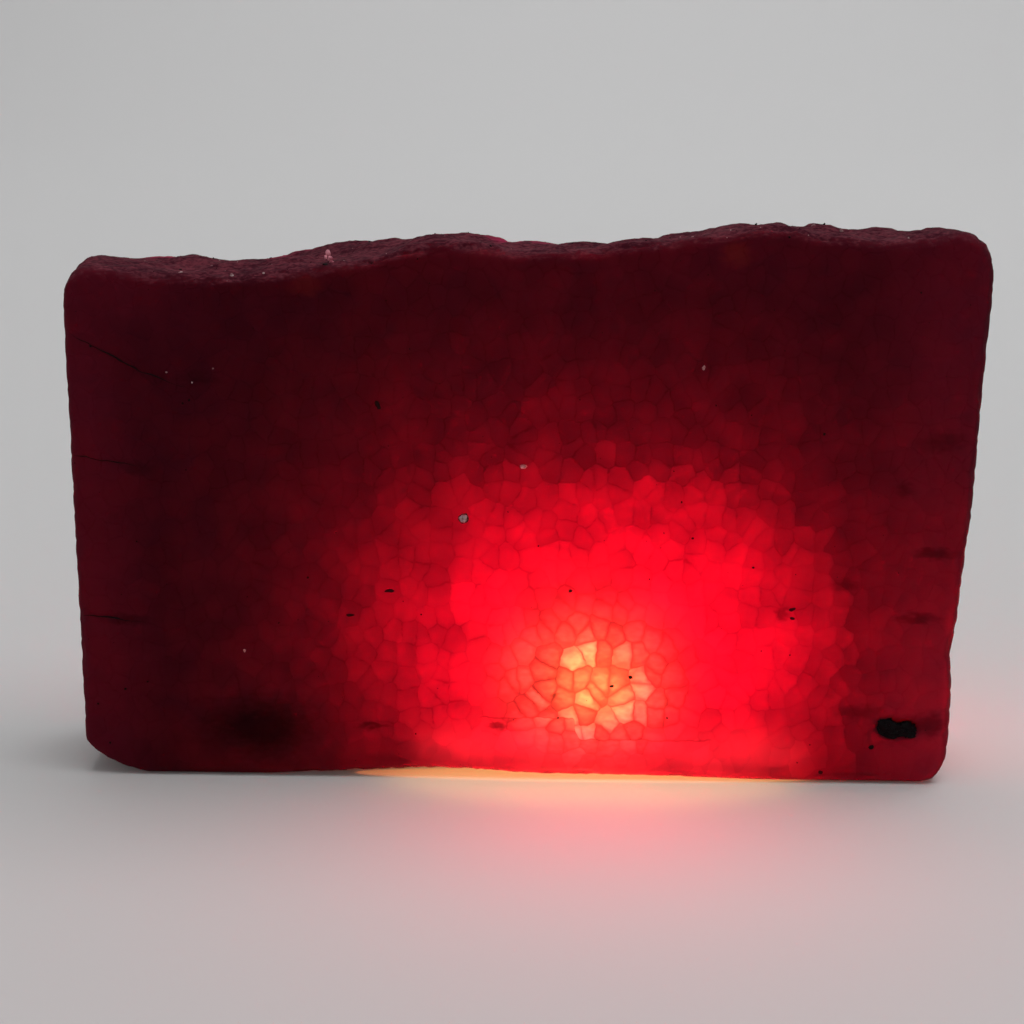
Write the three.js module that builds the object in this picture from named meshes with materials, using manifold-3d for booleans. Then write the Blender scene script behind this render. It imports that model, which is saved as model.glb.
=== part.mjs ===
// Raw ruby slab: one sawn slice of granular ruby, standing on its long lower edge.
// The two large faces are sawn flat, the ends are sawn and worn round, the lower edge is ground
// to two flat pads with a shallow hollow between them, and the top is the stone's natural skin,
// which rolls up and down along the length.
//
// Frame: millimetres, +Z up, +X along the length. The front sawn face looks along -Y.
// The origin lies on the resting plane, under the middle of the slab.

import * as THREE from "three";
import { mergeVertices } from "three/addons/utils/BufferGeometryUtils.js";
import Module from "manifold-3d";

// ---- Driving dimensions, in millimetres ----
const LENGTH = 65;
const THICKNESS = 10;
const LEFT = -LENGTH / 2;
const RIGHT = LENGTH / 2;
const WORN_EDGE = 0.8; // radius of the worn edge round each sawn face
const THROUGH_STEPS = 8; // divisions through the thickness, between the worn edges
const WORN_EDGE_STEPS = 2;
const CURVE_STEPS = 4; // divisions of each span of a curve, and of each corner

// Lower edge: two ground pads on the resting plane, and the hollow between them.
const LEFT_PAD = { from: -28, to: -19 };
const RIGHT_PAD = { from: 17, to: 29.2 };
const HOLLOW = [[-13, 0.3], [-6, 0.6], [1, 0.25], [9, 0.2]]; // [x, height of the hollow]

// Corners and ends.
const LEFT_BEVEL = [[-29.2, 0.3], [-30.4, 0.8], [-31.6, 1.5]];
const LEFT_BEVEL_TOP = 2.4;
const LEFT_CORNER = { start: 35.2, width: 2.3 };
const RIGHT_FOOT = { x: 31.1, height: 3.6 };
const RIGHT_END = [[31.1, 7.6], [30.9, 9.9], [31.2, 12.2], [31.5, 16.5], [31.9, 21.5], [32.1, 28]];
const RIGHT_CORNER = { start: 36.9, width: 2.8 };

// Height of the natural top along the length, at the front face and at the back face: [x, height].
const FRONT_RIM = [
  [-30, 37.9], [-26, 37.4], [-21, 37.3], [-16, 37.7], [-12, 38.3], [-8.5, 39.2], [-4.8, 39.6],
  [-0.3, 39.1], [4.5, 39.3], [8, 39.8], [11.5, 40.1], [15, 40.7], [18, 40.7], [21, 40.3],
  [25.5, 40.1], [29.5, 40.5],
];
const BACK_RIM = [
  [-30, 37], [-25, 37.2], [-20, 37], [-16, 37.9], [-12.5, 38.4], [-9.8, 38.3], [-6, 39.1],
  [-1.5, 38.4], [3, 37.9], [7.5, 38.1], [12.5, 38.8], [19, 39.5], [24, 39.2], [29.5, 39.2],
];
const CROWN = 0.3; // how far the top bulges above a straight line from rim to rim
const TOP_DEPTH = 5; // how far down the ends the top's shape fades out

// Lumps of the natural top: waves across it, each with its height and its wave numbers.
const LUMPS = [
  { height: 0.22, alongX: 0.55, alongY: 0.7, shift: 0.4 },
  { height: 0.16, alongX: 1.25, alongY: -0.9, shift: 2.1 },
];

// Open pocket in the front face where a dark mineral grain sits, near the right foot.
const POCKET = { x: 27.2, z: 4.4, length: 3.2, height: 1.5, depth: 0.6, segments: 14, rings: 8 };

const RUBY = new THREE.MeshStandardMaterial({
  name: "ruby",
  color: new THREE.Color().setRGB(0.19, 0.012, 0.045, THREE.SRGBColorSpace),
  roughness: 0.45,
  metalness: 0,
});

const points = (pairs) => pairs.map(([x, y]) => new THREE.Vector2(x, y));

// A smooth height curve through [x, height] pairs, read at any x.
function heightAlong(pairs) {
  const curve = new THREE.SplineCurve(points(pairs));
  const samples = curve.getSpacedPoints(pairs.length * 8);
  return (x) => {
    const next = samples.findIndex((p) => p.x >= x);
    if (next < 0) return samples[samples.length - 1].y;
    if (next === 0) return samples[0].y;
    const [a, b] = [samples[next - 1], samples[next]];
    return THREE.MathUtils.lerp(a.y, b.y, (x - a.x) / (b.x - a.x));
  };
}

// The slab's outline seen from the front, anticlockwise from the left pad.
function outline() {
  const shape = new THREE.Shape();
  const [firstRim, lastRim] = [FRONT_RIM[0], FRONT_RIM[FRONT_RIM.length - 1]];
  shape.moveTo(LEFT_PAD.from, 0);
  shape.lineTo(LEFT_PAD.to, 0);
  shape.splineThru(points([...HOLLOW, [RIGHT_PAD.from, 0]]));
  shape.lineTo(RIGHT_PAD.to, 0);
  shape.quadraticCurveTo(RIGHT_FOOT.x, 0, RIGHT_FOOT.x, RIGHT_FOOT.height);
  shape.splineThru(points([...RIGHT_END, [RIGHT, RIGHT_CORNER.start]]));
  const rightTop = RIGHT - RIGHT_CORNER.width;
  shape.quadraticCurveTo(RIGHT, lastRim[1], rightTop, lastRim[1]);
  shape.splineThru(points([...FRONT_RIM].reverse().slice(1, -1)));
  shape.lineTo(LEFT + LEFT_CORNER.width, firstRim[1]);
  shape.quadraticCurveTo(LEFT, firstRim[1], LEFT, LEFT_CORNER.start);
  shape.lineTo(LEFT, LEFT_BEVEL_TOP);
  shape.splineThru(points([...LEFT_BEVEL].reverse()));
  shape.lineTo(LEFT_PAD.from, 0);
  return shape;
}

// Height of the natural top over a point, from the two rims, the crown and the lumps.
function topSurface() {
  const front = heightAlong(FRONT_RIM);
  const back = heightAlong(BACK_RIM);
  return (x, y) => {
    const through = y / THICKNESS + 0.5;
    const bulge = 4 * through * (1 - through);
    const lumps = LUMPS.reduce(
      (sum, l) => sum + l.height * Math.sin(l.alongX * x + l.alongY * y + l.shift),
      0,
    );
    return THREE.MathUtils.lerp(front(x), back(x), through) + bulge * (CROWN + lumps);
  };
}

// The slab before the pocket is cut: the outline carried through the thickness, then its top
// edge moved to the natural surface.
function slabGeometry() {
  const geometry = new THREE.ExtrudeGeometry(outline(), {
    depth: THICKNESS - 2 * WORN_EDGE,
    steps: THROUGH_STEPS,
    curveSegments: CURVE_STEPS,
    bevelEnabled: true,
    bevelThickness: WORN_EDGE,
    bevelSize: WORN_EDGE,
    bevelOffset: -WORN_EDGE,
    bevelSegments: WORN_EDGE_STEPS,
  });
  geometry.translate(0, 0, WORN_EDGE - THICKNESS / 2);
  geometry.rotateX(Math.PI / 2);
  const top = topSurface();
  const rim = heightAlong(FRONT_RIM);
  const place = geometry.getAttribute("position");
  for (let i = 0; i < place.count; i++) {
    const [x, y, z] = [place.getX(i), place.getY(i), place.getZ(i)];
    const share = THREE.MathUtils.smoothstep(z, rim(x) - TOP_DEPTH, rim(x) - WORN_EDGE);
    place.setZ(i, z + share * (top(x, y) - rim(x)));
  }
  geometry.deleteAttribute("normal");
  geometry.deleteAttribute("uv");
  return mergeVertices(geometry, 1e-4);
}

function pocketGeometry() {
  const geometry = new THREE.SphereGeometry(0.5, POCKET.segments, POCKET.rings);
  geometry.scale(POCKET.length, 2 * POCKET.depth, POCKET.height);
  geometry.translate(POCKET.x, -THICKNESS / 2, POCKET.z);
  geometry.deleteAttribute("normal");
  geometry.deleteAttribute("uv");
  return mergeVertices(geometry, 1e-4);
}

const wasm = await Module();
wasm.setup();

const solid = (geometry) =>
  new wasm.Manifold(
    new wasm.Mesh({
      numProp: 3,
      vertProperties: geometry.getAttribute("position").array,
      triVerts: new Uint32Array(geometry.index.array),
    }),
  );

function toGeometry(manifold) {
  const mesh = manifold.getMesh();
  const geometry = new THREE.BufferGeometry();
  geometry.setAttribute("position", new THREE.BufferAttribute(mesh.vertProperties, 3));
  geometry.setIndex(new THREE.BufferAttribute(mesh.triVerts, 1));
  geometry.computeVertexNormals();
  return geometry;
}

const slab = new THREE.Mesh(toGeometry(solid(slabGeometry()).subtract(solid(pocketGeometry()))), RUBY);
slab.name = "ruby_slab";

const object = new THREE.Group();
object.name = "raw_ruby";
object.add(slab);

export default object;
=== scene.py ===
"""Looks of a raw ruby slab: its granular skin, dark mineral grains, dust, and the light behind it.

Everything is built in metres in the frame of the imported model: +X along the slab, +Y through its
thickness away from the front sawn face, +Z up from the plane that it rests on. A length written as
`12 * MM` is in metres. The patterns of the finishes, the relief's ranges, the spots, the patches and
the lamps count in millimetres of the real stone.
"""

from __future__ import annotations

import logging
import math
from dataclasses import dataclass
from enum import Enum

import bmesh
import bpy
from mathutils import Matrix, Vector

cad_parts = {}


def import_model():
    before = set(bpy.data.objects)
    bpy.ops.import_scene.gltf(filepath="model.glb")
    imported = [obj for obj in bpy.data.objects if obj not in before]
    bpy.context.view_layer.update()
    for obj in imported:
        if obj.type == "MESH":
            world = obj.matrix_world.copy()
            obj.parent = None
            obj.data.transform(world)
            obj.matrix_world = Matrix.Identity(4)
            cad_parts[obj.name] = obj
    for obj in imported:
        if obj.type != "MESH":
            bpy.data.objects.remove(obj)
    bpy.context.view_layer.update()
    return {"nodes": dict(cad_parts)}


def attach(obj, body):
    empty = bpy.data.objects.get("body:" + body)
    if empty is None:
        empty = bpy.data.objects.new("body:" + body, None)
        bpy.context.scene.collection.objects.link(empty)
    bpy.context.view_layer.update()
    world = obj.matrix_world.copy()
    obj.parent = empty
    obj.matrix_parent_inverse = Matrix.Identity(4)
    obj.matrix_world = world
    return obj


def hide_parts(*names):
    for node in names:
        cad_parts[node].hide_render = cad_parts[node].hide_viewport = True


LOG = logging.getLogger("raw_ruby")
MM = 0.001
CAD_NODE = "ruby_slab"
BODY = "root"
FRONT = -5.0  # Y of the front sawn face, in millimetres
MID_NOISE = (0.5, 0.5, 0.5)  # what a noise's colour swings round
FULL_TURN = 6.28
Colour = tuple[float, float, float, float]
Triple = tuple[float, float, float]


class Slot(Enum):
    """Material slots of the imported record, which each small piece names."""

    RUBY = "ruby"
    MINERAL = "black_mineral"
    DUST = "stone_dust"


class Side(Enum):
    """Sides of the stone that grains lie on, each by the direction that it looks in."""

    FRONT = (0.0, -1.0, 0.0)
    BACK = (0.0, 1.0, 0.0)
    TOP = (0.0, 0.0, 1.0)


@dataclass(frozen=True)
class Ease:
    """A soft change from one value to another while something else runs from low to high."""

    low: float
    high: float
    start: float = 0.0
    end: float = 1.0


@dataclass(frozen=True)
class Lumpiness:
    """A noise: its lumps to a millimetre, how many finer layers it has, and how strong they are."""

    scale: float
    detail: float = 0.0
    roughness: float = 0.5


class NodeDesk:
    """Adds nodes to one tree and wires them, one call to a node."""

    def __init__(self, tree: bpy.types.NodeTree) -> None:
        """Keeps the tree to work on.

        Args:
            tree: A shader or geometry node tree.
        """
        self.tree = tree

    def add(self, kind: str, inputs: dict | None = None, **settings: object) -> bpy.types.Node:
        """Adds one node.

        Args:
            kind: Blender's type name for the node.
            inputs: Values or output sockets for its inputs, by name or number.
            settings: Attributes of the node to set first.

        Returns:
            The new node.
        """
        node = self.tree.nodes.new(kind)
        for name, value in settings.items():
            setattr(node, name, value)
        for key, value in (inputs or {}).items():
            self.feed(node.inputs[key], value)
        return node

    def feed(self, socket: bpy.types.NodeSocket, value: object) -> None:
        """Links an output socket to an input, or sets a plain value on it.

        Args:
            socket: The input.
            value: The output socket or the plain value.
        """
        if isinstance(value, bpy.types.NodeSocket):
            self.tree.links.new(value, socket)
        else:
            socket.default_value = value

    def maths(self, operation: str, *values: object, clamp: bool = False) -> bpy.types.NodeSocket:
        """Adds a Math node.

        Args:
            operation: Blender's name for the operation.
            values: Up to three numbers or sockets.
            clamp: Whether the result is kept between 0 and 1.

        Returns:
            The result's socket.
        """
        inputs = dict(enumerate(values))
        return self.add("ShaderNodeMath", inputs, operation=operation, use_clamp=clamp).outputs[0]

    def times(self, first: object, *others: object) -> bpy.types.NodeSocket:
        """Multiplies numbers one after another.

        Args:
            first: The first number or socket.
            others: The numbers or sockets to multiply it by.

        Returns:
            The product's socket.
        """
        for other in others:
            first = self.maths("MULTIPLY", first, other)
        return first

    def vector(self, operation: str, *values: object) -> bpy.types.NodeSocket:
        """Adds a Vector Math node.

        Args:
            operation: Blender's name for the operation.
            values: Up to three vectors or sockets, the second a number where the operation scales.

        Returns:
            The socket of its vector.
        """
        node = self.add("ShaderNodeVectorMath", operation=operation)
        for key, value in enumerate(values):
            self.feed(node.inputs["Scale" if operation == "SCALE" and key else key], value)
        return node.outputs["Vector"]

    def measure(self, operation: str, *values: object) -> bpy.types.NodeSocket:
        """Adds a Vector Math node that gives a number, such as a length or a distance.

        Args:
            operation: Blender's name for the operation.
            values: One or two vectors or sockets.

        Returns:
            The number's socket.
        """
        inputs = dict(enumerate(values))
        return self.add("ShaderNodeVectorMath", inputs, operation=operation).outputs["Value"]

    def split(self, vector: bpy.types.NodeSocket) -> bpy.types.bpy_prop_collection:
        """Splits a vector.

        Args:
            vector: The socket of the vector.

        Returns:
            Its sockets X, Y and Z.
        """
        return self.add("ShaderNodeSeparateXYZ", {"Vector": vector}).outputs

    def noise(self, at: bpy.types.NodeSocket, kind: Lumpiness,
              flat: bool = False) -> bpy.types.bpy_prop_collection:
        """Adds a noise.

        Args:
            at: The point to look at, in millimetres.
            kind: The noise's own numbers.
            flat: Whether it reads X and Y only.

        Returns:
            Its outputs: the number first, and the colour under its name.
        """
        inputs = {"Vector": at, "Scale": kind.scale, "Detail": kind.detail, "Roughness": kind.roughness}
        return self.add("ShaderNodeTexNoise", inputs, noise_dimensions="2D" if flat else "3D").outputs

    def push(self, colour: bpy.types.NodeSocket) -> bpy.types.NodeSocket:
        """Makes a noise's colour swing round nothing.

        Args:
            colour: The colour's socket.

        Returns:
            The socket of the swing, from -0.5 to 0.5 each way.
        """
        return self.vector("SUBTRACT", colour, MID_NOISE)

    def ramp(self, value: object, ease: Ease) -> bpy.types.NodeSocket:
        """Maps a value from one range to another, eased, and held at the ends.

        Args:
            value: The socket to map.
            ease: The two ranges.

        Returns:
            The result's socket.
        """
        ends = {"From Min": ease.low, "From Max": ease.high, "To Min": ease.start, "To Max": ease.end}
        node = self.add("ShaderNodeMapRange", {"Value": value, **ends}, interpolation_type="SMOOTHSTEP")
        return node.outputs["Result"]

    def mix(self, share: object, first: object, second: object) -> bpy.types.NodeSocket:
        """Mixes two colours.

        Args:
            share: How much of the second colour, from 0 to 1.
            first: The first colour.
            second: The second colour.

        Returns:
            The mixed colour's socket.
        """
        inputs = {"Factor": share, 6: first, 7: second}
        return self.add("ShaderNodeMix", inputs, data_type="RGBA", blend_type="MIX").outputs[2]


class ShapeDesk(NodeDesk):
    """A desk for a new geometry node tree, with its inputs and the point to look at."""

    def __init__(self, name: str, inputs: tuple[str, ...]) -> None:
        """Starts the tree.

        Args:
            name: The tree's name.
            inputs: The names of its number inputs.
        """
        tree = bpy.data.node_groups.new(name, "GeometryNodeTree")
        tree.interface.new_socket("Geometry", in_out="INPUT", socket_type="NodeSocketGeometry")
        for label in inputs:
            tree.interface.new_socket(label, in_out="INPUT", socket_type="NodeSocketFloat")
        tree.interface.new_socket("Geometry", in_out="OUTPUT", socket_type="NodeSocketGeometry")
        super().__init__(tree)
        self.given = self.add("NodeGroupInput").outputs
        self.mm = self.vector("SCALE", self.add("GeometryNodeInputPosition").outputs[0], 1 / MM)

    def random(self, low: Triple, high: Triple, seed: int) -> bpy.types.NodeSocket:
        """Draws a vector for each point.

        Args:
            low: The lowest values.
            high: The highest values.
            seed: The draw's seed.

        Returns:
            The vector's socket.
        """
        inputs = {0: low, 1: high, "Seed": seed}
        return self.add("FunctionNodeRandomValue", inputs, data_type="FLOAT_VECTOR").outputs[0]

    def lumps(self, points: bpy.types.NodeSocket, turn: bpy.types.NodeSocket,
              size: bpy.types.NodeSocket, subdivisions: int) -> bpy.types.NodeSocket:
        """Puts a ball on every point, each turned and stretched its own way.

        Args:
            points: The points.
            turn: Each ball's rotation.
            size: Each ball's size.
            subdivisions: How fine the balls are.

        Returns:
            The socket of the balls, as real meshes.
        """
        ball = self.add("GeometryNodeMeshIcoSphere", {"Radius": 0.5, "Subdivisions": subdivisions})
        placed = self.add("GeometryNodeInstanceOnPoints", {
            "Points": points, "Instance": ball.outputs[0], "Rotation": turn, "Scale": size,
        })
        return self.add("GeometryNodeRealizeInstances", {"Geometry": placed.outputs[0]}).outputs[0]

    def shift(self, shape: bpy.types.NodeSocket, offset: bpy.types.NodeSocket) -> bpy.types.NodeSocket:
        """Moves a shape's points.

        Args:
            shape: The shape.
            offset: How far each point moves.

        Returns:
            The socket of the moved shape.
        """
        return self.add("GeometryNodeSetPosition", {"Geometry": shape, "Offset": offset}).outputs[0]

    def finish(self, shape: bpy.types.NodeSocket,
               material: bpy.types.Material) -> bpy.types.GeometryNodeTree:
        """Ends the tree: makes any instance real and sets the material.

        Args:
            shape: The shape.
            material: Its finish.

        Returns:
            The finished tree.
        """
        whole = self.add("GeometryNodeRealizeInstances", {"Geometry": shape})
        dressed = self.add("GeometryNodeSetMaterial", {"Geometry": whole.outputs[0], "Material": material})
        self.add("NodeGroupOutput", {"Geometry": dressed.outputs[0]})
        return self.tree


@dataclass(frozen=True)
class Grains:
    """What is known at a point of the grain field, as sockets of one node tree."""

    x: bpy.types.NodeSocket
    z: bpy.types.NodeSocket
    middle: bpy.types.NodeSocket
    lean: bpy.types.NodeSocket
    chance: bpy.types.NodeSocket
    gap: bpy.types.NodeSocket
    fault: bpy.types.NodeSocket


@dataclass(frozen=True)
class GrainField:
    """The stone's interlocked grains, in millimetres, with the fracture that offsets them.

    The grains are columns that run askew through the slab, so every face cuts them across. The
    relief of the mesh and the tones of the finish both lay this field, so they agree.
    """

    size: float = 1.3
    upright: float = 0.86
    evenness: float = 0.86
    askew: Triple = (0.83, 0.61, 0.0)
    bend_noise: Lumpiness = Lumpiness(0.8, 2.0)
    bend: float = 0.5
    fault_level: Ease = Ease(3.6, 4.0, 4.9, 3.25)
    fault_start: Ease = Ease(-3.4, -2.6)
    fault_stop: Ease = Ease(13.2, 14.0, 1.0, 0.0)
    fault_slip: Triple = (7.3, 2.1, 0.0)
    fault_line: Ease = Ease(0.0, 0.1, 1.0, 0.0)

    def lay(self, desk: NodeDesk, mm: bpy.types.NodeSocket) -> Grains:
        """Lays the field in a node tree.

        Args:
            desk: The tree's desk.
            mm: The point to look at, in millimetres.

        Returns:
            The grain at that point.
        """
        at = desk.split(mm)
        askew = desk.vector("SCALE", self.askew, desk.maths("SUBTRACT", at["Y"], FRONT))
        front = desk.add("ShaderNodeCombineXYZ", {"X": at["X"], "Y": at["Z"]}).outputs[0]
        flat = desk.vector("ADD", front, askew)
        sway = desk.push(desk.noise(flat, self.bend_noise, flat=True)["Color"])
        bent = desk.vector("MULTIPLY_ADD", sway, (self.bend,) * 3, flat)
        place = desk.split(bent)
        above = desk.maths("SUBTRACT", place["Y"], desk.ramp(place["X"], self.fault_level))
        inside = desk.times(desk.ramp(place["X"], self.fault_start), desk.ramp(place["X"], self.fault_stop))
        slipped = desk.times(desk.maths("LESS_THAN", above, 0.0), desk.maths("GREATER_THAN", inside, 0.5))
        slip = desk.vector("SCALE", self.fault_slip, slipped)
        moved = desk.vector("MULTIPLY", desk.vector("ADD", bent, slip), (1.0, self.upright, 0.0))
        cells = {"Vector": moved, "Scale": 1 / self.size, "Randomness": self.evenness}
        first = desk.add("ShaderNodeTexVoronoi", cells, voronoi_dimensions="2D")
        second = desk.add("ShaderNodeTexVoronoi", cells, voronoi_dimensions="2D", feature="F2")
        home = desk.vector("MULTIPLY", first.outputs["Position"], (1.0, 1 / self.upright, 0.0))
        centre = desk.vector("SUBTRACT", home, slip)
        away = desk.split(desk.vector("SUBTRACT", bent, centre))
        middle = desk.vector("SUBTRACT", centre, askew)
        own = desk.split(middle)
        return Grains(
            x=own["X"],
            z=own["Y"],
            middle=middle,
            lean=desk.add("ShaderNodeCombineXYZ", {"X": away["X"], "Z": away["Y"]}).outputs[0],
            chance=first.outputs["Color"],
            gap=desk.maths("SUBTRACT", second.outputs["Distance"], first.outputs["Distance"]),
            fault=desk.times(desk.ramp(desk.maths("ABSOLUTE", above), self.fault_line), inside),
        )


@dataclass(frozen=True)
class Patch:
    """A soft oval patch just under the front face, in millimetres of X and Z."""

    x: float
    z: float
    length: float
    height: float
    depth: float


DARK_PATCHES = (
    Patch(-19.3, 3.9, 12.0, 6.0, 0.82),
    Patch(-11.0, 4.1, 3.0, 0.6, 0.5),
    Patch(-1.9, 4.2, 2.0, 0.8, 0.5),
    Patch(2.3, 6.6, 1.1, 0.8, 0.4),
    Patch(18.6, 13.0, 1.3, 1.2, 0.45),
    Patch(27.1, 4.4, 4.8, 3.0, 0.5),
    Patch(29.3, 17.6, 4.4, 1.1, 0.5),
    Patch(28.3, 12.8, 4.2, 1.2, 0.5),
    Patch(29.7, 4.8, 3.4, 2.6, 0.6),
    Patch(24.4, 5.6, 5.0, 1.6, 0.35),
    Patch(29.5, 25.8, 4.6, 2.0, 0.4),
    Patch(26.9, 22.3, 1.6, 1.4, 0.35),
    Patch(23.0, 15.2, 2.6, 1.4, 0.35),
    Patch(-27.6, 23.4, 2.8, 1.3, 0.35),
    Patch(-28.8, 12.1, 4.8, 1.2, 0.4),
    Patch(-23.0, 29.9, 4.4, 1.5, 0.35),
)
WARM_PATCHES = (
    Patch(14.7, 39.0, 2.8, 2.2, 0.5),
    Patch(-15.2, 36.6, 2.8, 2.0, 0.4),
)


@dataclass(frozen=True)
class Here:
    """What the ruby's finish knows at the point that it shades, as sockets of its tree."""

    desk: NodeDesk
    mm: bpy.types.NodeSocket
    at: bpy.types.bpy_prop_collection
    normal: bpy.types.NodeSocket
    facing: bpy.types.bpy_prop_collection
    grains: Grains
    soft: bpy.types.NodeSocket
    fine: bpy.types.NodeSocket
    swirl: bpy.types.NodeSocket
    speck: bpy.types.NodeSocket


@dataclass(frozen=True)
class GrainToneAndPaintedGlow:
    """How clear the stone is from place to place, around 1 for a common grain: the grains' own tones and
    seams, with painted glow around the torch's beam and painted shade outside the dome of the glow.
    """

    cluster_noise: Lumpiness = Lumpiness(0.25)
    cluster: Ease = Ease(0.25, 0.75, 0.88, 1.12)
    mottle: Ease = Ease(0.25, 0.75, 0.9, 1.08)
    cloud: Ease = Ease(0.3, 0.7, -0.16, 0.16)
    # The torch's beam, in millimetres of X and Z: grains near it get painted glow, a wider spread and
    # deeper painted rim shade.
    beam: Triple = (5.2, 7.0, 0.0)
    window: Ease = Ease(4.0, 8.5, 1.0, 0.0)
    peak: Ease = Ease(2.0, 6.3, 1.0, 0.0)
    foot: Ease = Ease(2.6, 4.2, 0.3, 1.0)
    chance: Ease = Ease(0.55, 0.95, -0.22, 0.78)
    chance_share: tuple[float, float] = (1.5, 0.12)
    shade_share: tuple[float, float] = (0.42, 0.1)
    shade_most: float = 1.05
    shade_rim: Ease = Ease(0.5, 0.86)
    shade_rim_share: float = 0.85
    shade_gap: Ease = Ease(0.0, 0.4, 1.0, 0.0)
    # The dome of the glow: outside it the front gets painted shade.
    dome_centre: Triple = (4.8, 2.0, 0.0)
    dome_half_width: float = 18.2
    dome_height: float = 21.2
    dome_ragged: float = 0.9
    dome_shade: float = 0.42
    dome_shade_reach: Ease = Ease(1.35, 1.65)
    dome_shade_left: Ease = Ease(-10.0, -1.0, 0.45, 1.0)
    front: Ease = Ease(-4.0, 0.0, 1.0, 0.0)
    seam: Ease = Ease(0.01, 0.12, 1.0, 0.0)
    seam_depth: Ease = Ease(0.35, 0.65, 0.26, 0.1)
    seam_window: float = 0.2
    seam_grit: Ease = Ease(0.4, 0.62, 0.45, 1.3)
    seam_high: Ease = Ease(20.0, 24.0, 1.0, 1.7)

    def grain(self, here: Here, window: bpy.types.NodeSocket, peak: bpy.types.NodeSocket,
              low: bpy.types.NodeSocket) -> bpy.types.NodeSocket:
        """Works out one grain's clearness: its own chance, spread wider near the beam's middle, with
        painted shade towards its rim that deepens near the beam.

        Args:
            here: The point.
            window: How close the beam is, from 0 to 1.
            peak: How close its middle is, from 0 to 1.
            low: What is left of the marks near the foot.

        Returns:
            The grain's clearness.
        """
        desk, grains = here.desk, here.grains
        own = desk.add("ShaderNodeSeparateColor", {"Color": grains.chance}).outputs["Red"]
        spread = desk.maths("MULTIPLY_ADD", peak, *self.chance_share)
        clear = desk.maths("MULTIPLY_ADD", desk.ramp(own, self.chance), spread, 1.0)
        away = desk.measure("LENGTH", grains.lean)
        rim = desk.times(desk.ramp(away, self.shade_rim), self.shade_rim_share)
        rim = desk.maths("MAXIMUM", rim, desk.ramp(grains.gap, self.shade_gap))
        shade = desk.times(desk.maths("MULTIPLY_ADD", window, *self.shade_share), low, rim)
        return desk.times(clear, desk.maths("SUBTRACT", self.shade_most, shade))

    def painted_dome_shade(self, here: Here, cluster: bpy.types.NodeSocket) -> bpy.types.NodeSocket:
        """Works out the painted shade that darkens the front outside the dome of the glow.

        Args:
            here: The point.
            cluster: The noise that grains share with their neighbours.

        Returns:
            What is left of the clearness.
        """
        desk, grains = here.desk, here.grains
        shift = desk.vector("SUBTRACT", grains.middle, self.dome_centre)
        shift = desk.vector("MULTIPLY", shift, (1 / self.dome_half_width, 1 / self.dome_height, 0.0))
        square = desk.vector("MULTIPLY", shift, shift)
        reach = desk.measure("DOT_PRODUCT", square, square)
        reach = desk.maths("MULTIPLY_ADD", cluster, self.dome_ragged, reach)
        dome_shade = desk.times(desk.ramp(reach, self.dome_shade_reach), desk.ramp(grains.x, self.dome_shade_left))
        front = desk.ramp(here.at["Y"], self.front)
        return desk.maths("ADD", desk.times(dome_shade, front, -self.dome_shade), 1.0)

    def seams(self, here: Here, window: bpy.types.NodeSocket,
              low: bpy.types.NodeSocket) -> bpy.types.NodeSocket:
        """Works out how dark the seam between two grains is.

        Args:
            here: The point.
            window: How close the beam is, from 0 to 1.
            low: What is left of the marks near the foot.

        Returns:
            What is left of the clearness.
        """
        desk, grains = here.desk, here.grains
        depth = desk.maths("MULTIPLY_ADD", window, self.seam_window, desk.ramp(here.soft, self.seam_depth))
        high = desk.ramp(grains.z, self.seam_high)
        depth = desk.times(depth, low, desk.ramp(here.fine, self.seam_grit), high)
        seam = desk.maths("MULTIPLY", desk.ramp(grains.gap, self.seam), depth, clamp=True)
        return desk.maths("SUBTRACT", 1.0, seam)

    def lay(self, here: Here) -> bpy.types.NodeSocket:
        """Works out the clearness.

        Args:
            here: The point.

        Returns:
            The share of light that enters.
        """
        desk, grains = here.desk, here.grains
        cluster = desk.noise(grains.middle, self.cluster_noise, flat=True)[0]
        reach = desk.measure("DISTANCE", grains.middle, self.beam)
        window = desk.ramp(reach, self.window)
        low = desk.ramp(grains.z, self.foot)
        cloud = desk.times(desk.ramp(here.fine, self.cloud), window)
        return desk.times(
            self.grain(here, window, desk.ramp(reach, self.peak), low),
            desk.ramp(cluster, self.cluster),
            self.painted_dome_shade(here, cluster),
            self.seams(here, window, low),
            desk.maths("ADD", cloud, 1.0),
            desk.ramp(here.soft, self.mottle),
        )


@dataclass(frozen=True)
class PaintedEdgeGlow:
    """Painted glow: a lighter red at both ends, and a painted highlight along the top edge."""

    left_end: Ease = Ease(-32.3, -26.0, 0.3, 0.0)
    left_corner: Ease = Ease(-31.0, -19.0, 0.26, 0.0)
    left_corner_height: Ease = Ease(31.0, 36.5)
    # The painted highlight along the top edge.
    top: Ease = Ease(35.5, 39.5, 0.0, 0.08)
    right_end: Ease = Ease(22.0, 31.5, 0.0, 0.75)
    right_end_height: Ease = Ease(5.0, 19.0, 1.0, 0.4)
    right_end_side: Ease = Ease(0.2, 0.8, 1.0, 0.4)

    def lay(self, here: Here) -> bpy.types.NodeSocket:
        """Works out how strong the painted glow is.

        Args:
            here: The point.

        Returns:
            The share of the painted glow's lighter red.
        """
        desk = here.desk
        along, up = here.at["X"], here.at["Z"]
        right = desk.times(desk.ramp(along, self.right_end), desk.ramp(up, self.right_end_height))
        right = desk.times(right, desk.ramp(here.facing["X"], self.right_end_side))
        ends = desk.maths("MAXIMUM", desk.ramp(along, self.left_end), right)
        corner = desk.times(desk.ramp(along, self.left_corner), desk.ramp(up, self.left_corner_height))
        return desk.maths("MAXIMUM", ends, desk.maths("ADD", corner, desk.ramp(up, self.top)))


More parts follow.
